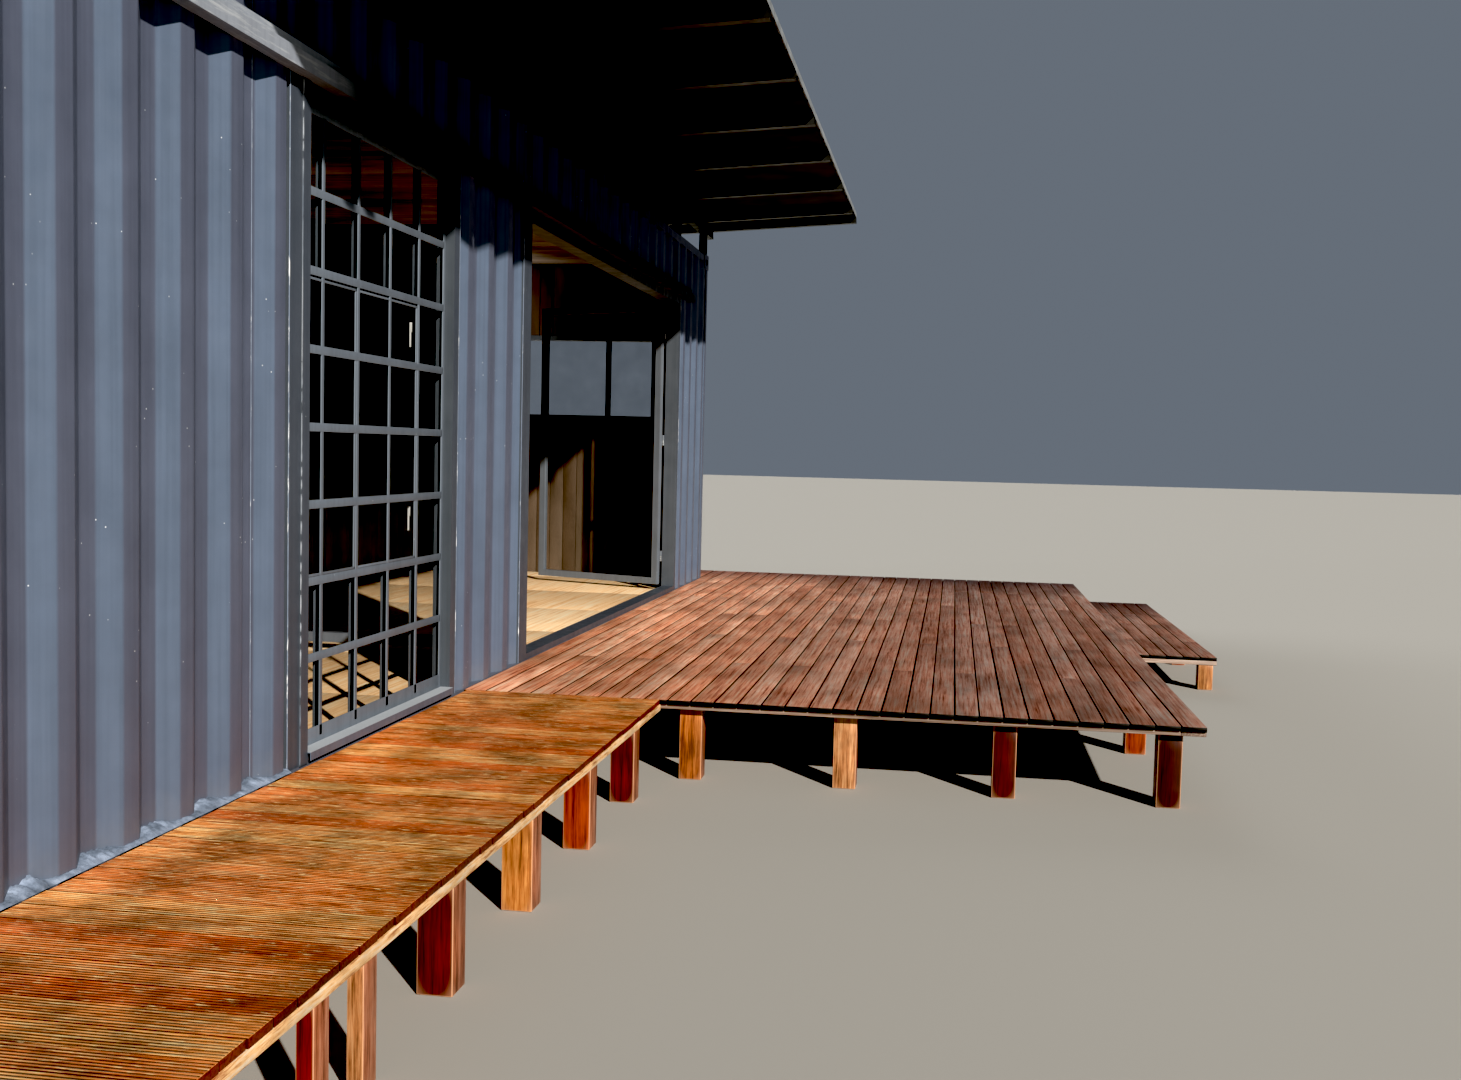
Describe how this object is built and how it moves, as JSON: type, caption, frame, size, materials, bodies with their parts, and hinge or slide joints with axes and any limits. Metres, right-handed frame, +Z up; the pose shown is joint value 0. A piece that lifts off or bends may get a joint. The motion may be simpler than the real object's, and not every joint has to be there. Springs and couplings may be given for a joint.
{
  "type": "shipping container cabin",
  "caption": "Shipping container cabin with a barred window, a wide doorway with a hinged glazed leaf, a raised sloping roof, and a timber walkway, deck and step.",
  "frame": {"origin": "on the ground, under the middle of the whole cabin's bounding box", "axes": "+X along the container from its closed cargo-door end to its windowed end, +Y from the deck towards the back wall, +Z up"},
  "size_m": [12.912, 6.5542, 3.5016],
  "materials": {
    "painted_steel": "satin",
    "under_steel": "matte",
    "footing_timber": "rough",
    "floor_ply": "satin",
    "zinc": "dull",
    "lining_boards": "satin",
    "end_boards": "satin",
    "frame_steel": "satin",
    "clear_glass": "clear",
    "light_flashing": "satin",
    "white_fittings": "gloss",
    "dark_frames": "satin",
    "roof_frame": "matte",
    "roof_sheet": "satin",
    "walkway_timber": "oiled",
    "deck_timber": "oiled",
    "post_timber": "rough"
  },
  "bodies": {
    "cabin": {"footings": "footing_timber", "bottom_rails": "painted_steel", "cross_members": "under_steel", "floor_boards": "floor_ply", "corner_posts": "painted_steel", "corner_castings": "painted_steel", "top_rails": "painted_steel", "end_rails": "painted_steel", "front_wall_near": "painted_steel", "front_wall_middle": "painted_steel", "front_wall_far": "painted_steel", "front_wall_head": "painted_steel", "back_wall": "painted_steel", "end_wall": "painted_steel", "container_roof": "painted_steel", "cargo_doors": "painted_steel", "cargo_door_rods": "zinc", "ceiling_lining": "lining_boards", "end_lining": "end_boards", "window_frame": "frame_steel", "window_grille": "frame_steel", "window_glass": "clear_glass", "window_sill": "light_flashing", "window_latches": "white_fittings", "end_window_frame": "dark_frames", "end_window_glass": "clear_glass", "door_frame": "dark_frames", "door_hinges": "zinc", "folded_leaves": "dark_frames", "folded_glass": "clear_glass", "lintel": "frame_steel", "roof_posts": "roof_frame", "roof_long_beams": "roof_frame", "roof_cross_beams": "roof_frame", "roof_sheets": "roof_sheet", "roof_edge_trim": "zinc", "walkway_boards": "walkway_timber", "walkway_bearers": "walkway_timber", "walkway_posts": "post_timber", "deck_boards": "deck_timber", "deck_bearers": "post_timber", "deck_posts": "post_timber", "step_boards": "deck_timber", "step_frame": "post_timber"},
    "door_leaf": {"door_leaf": "dark_frames", "door_glass": "clear_glass"}
  },
  "joints": [
    {"name": "door_leaf_swing", "type": "hinge", "parent": "cabin", "child": "door_leaf", "pos_m": [4.533, 0.66188, 1.48], "axis": [0, 0, -1], "range_deg": [-111, 50]}
  ]
}
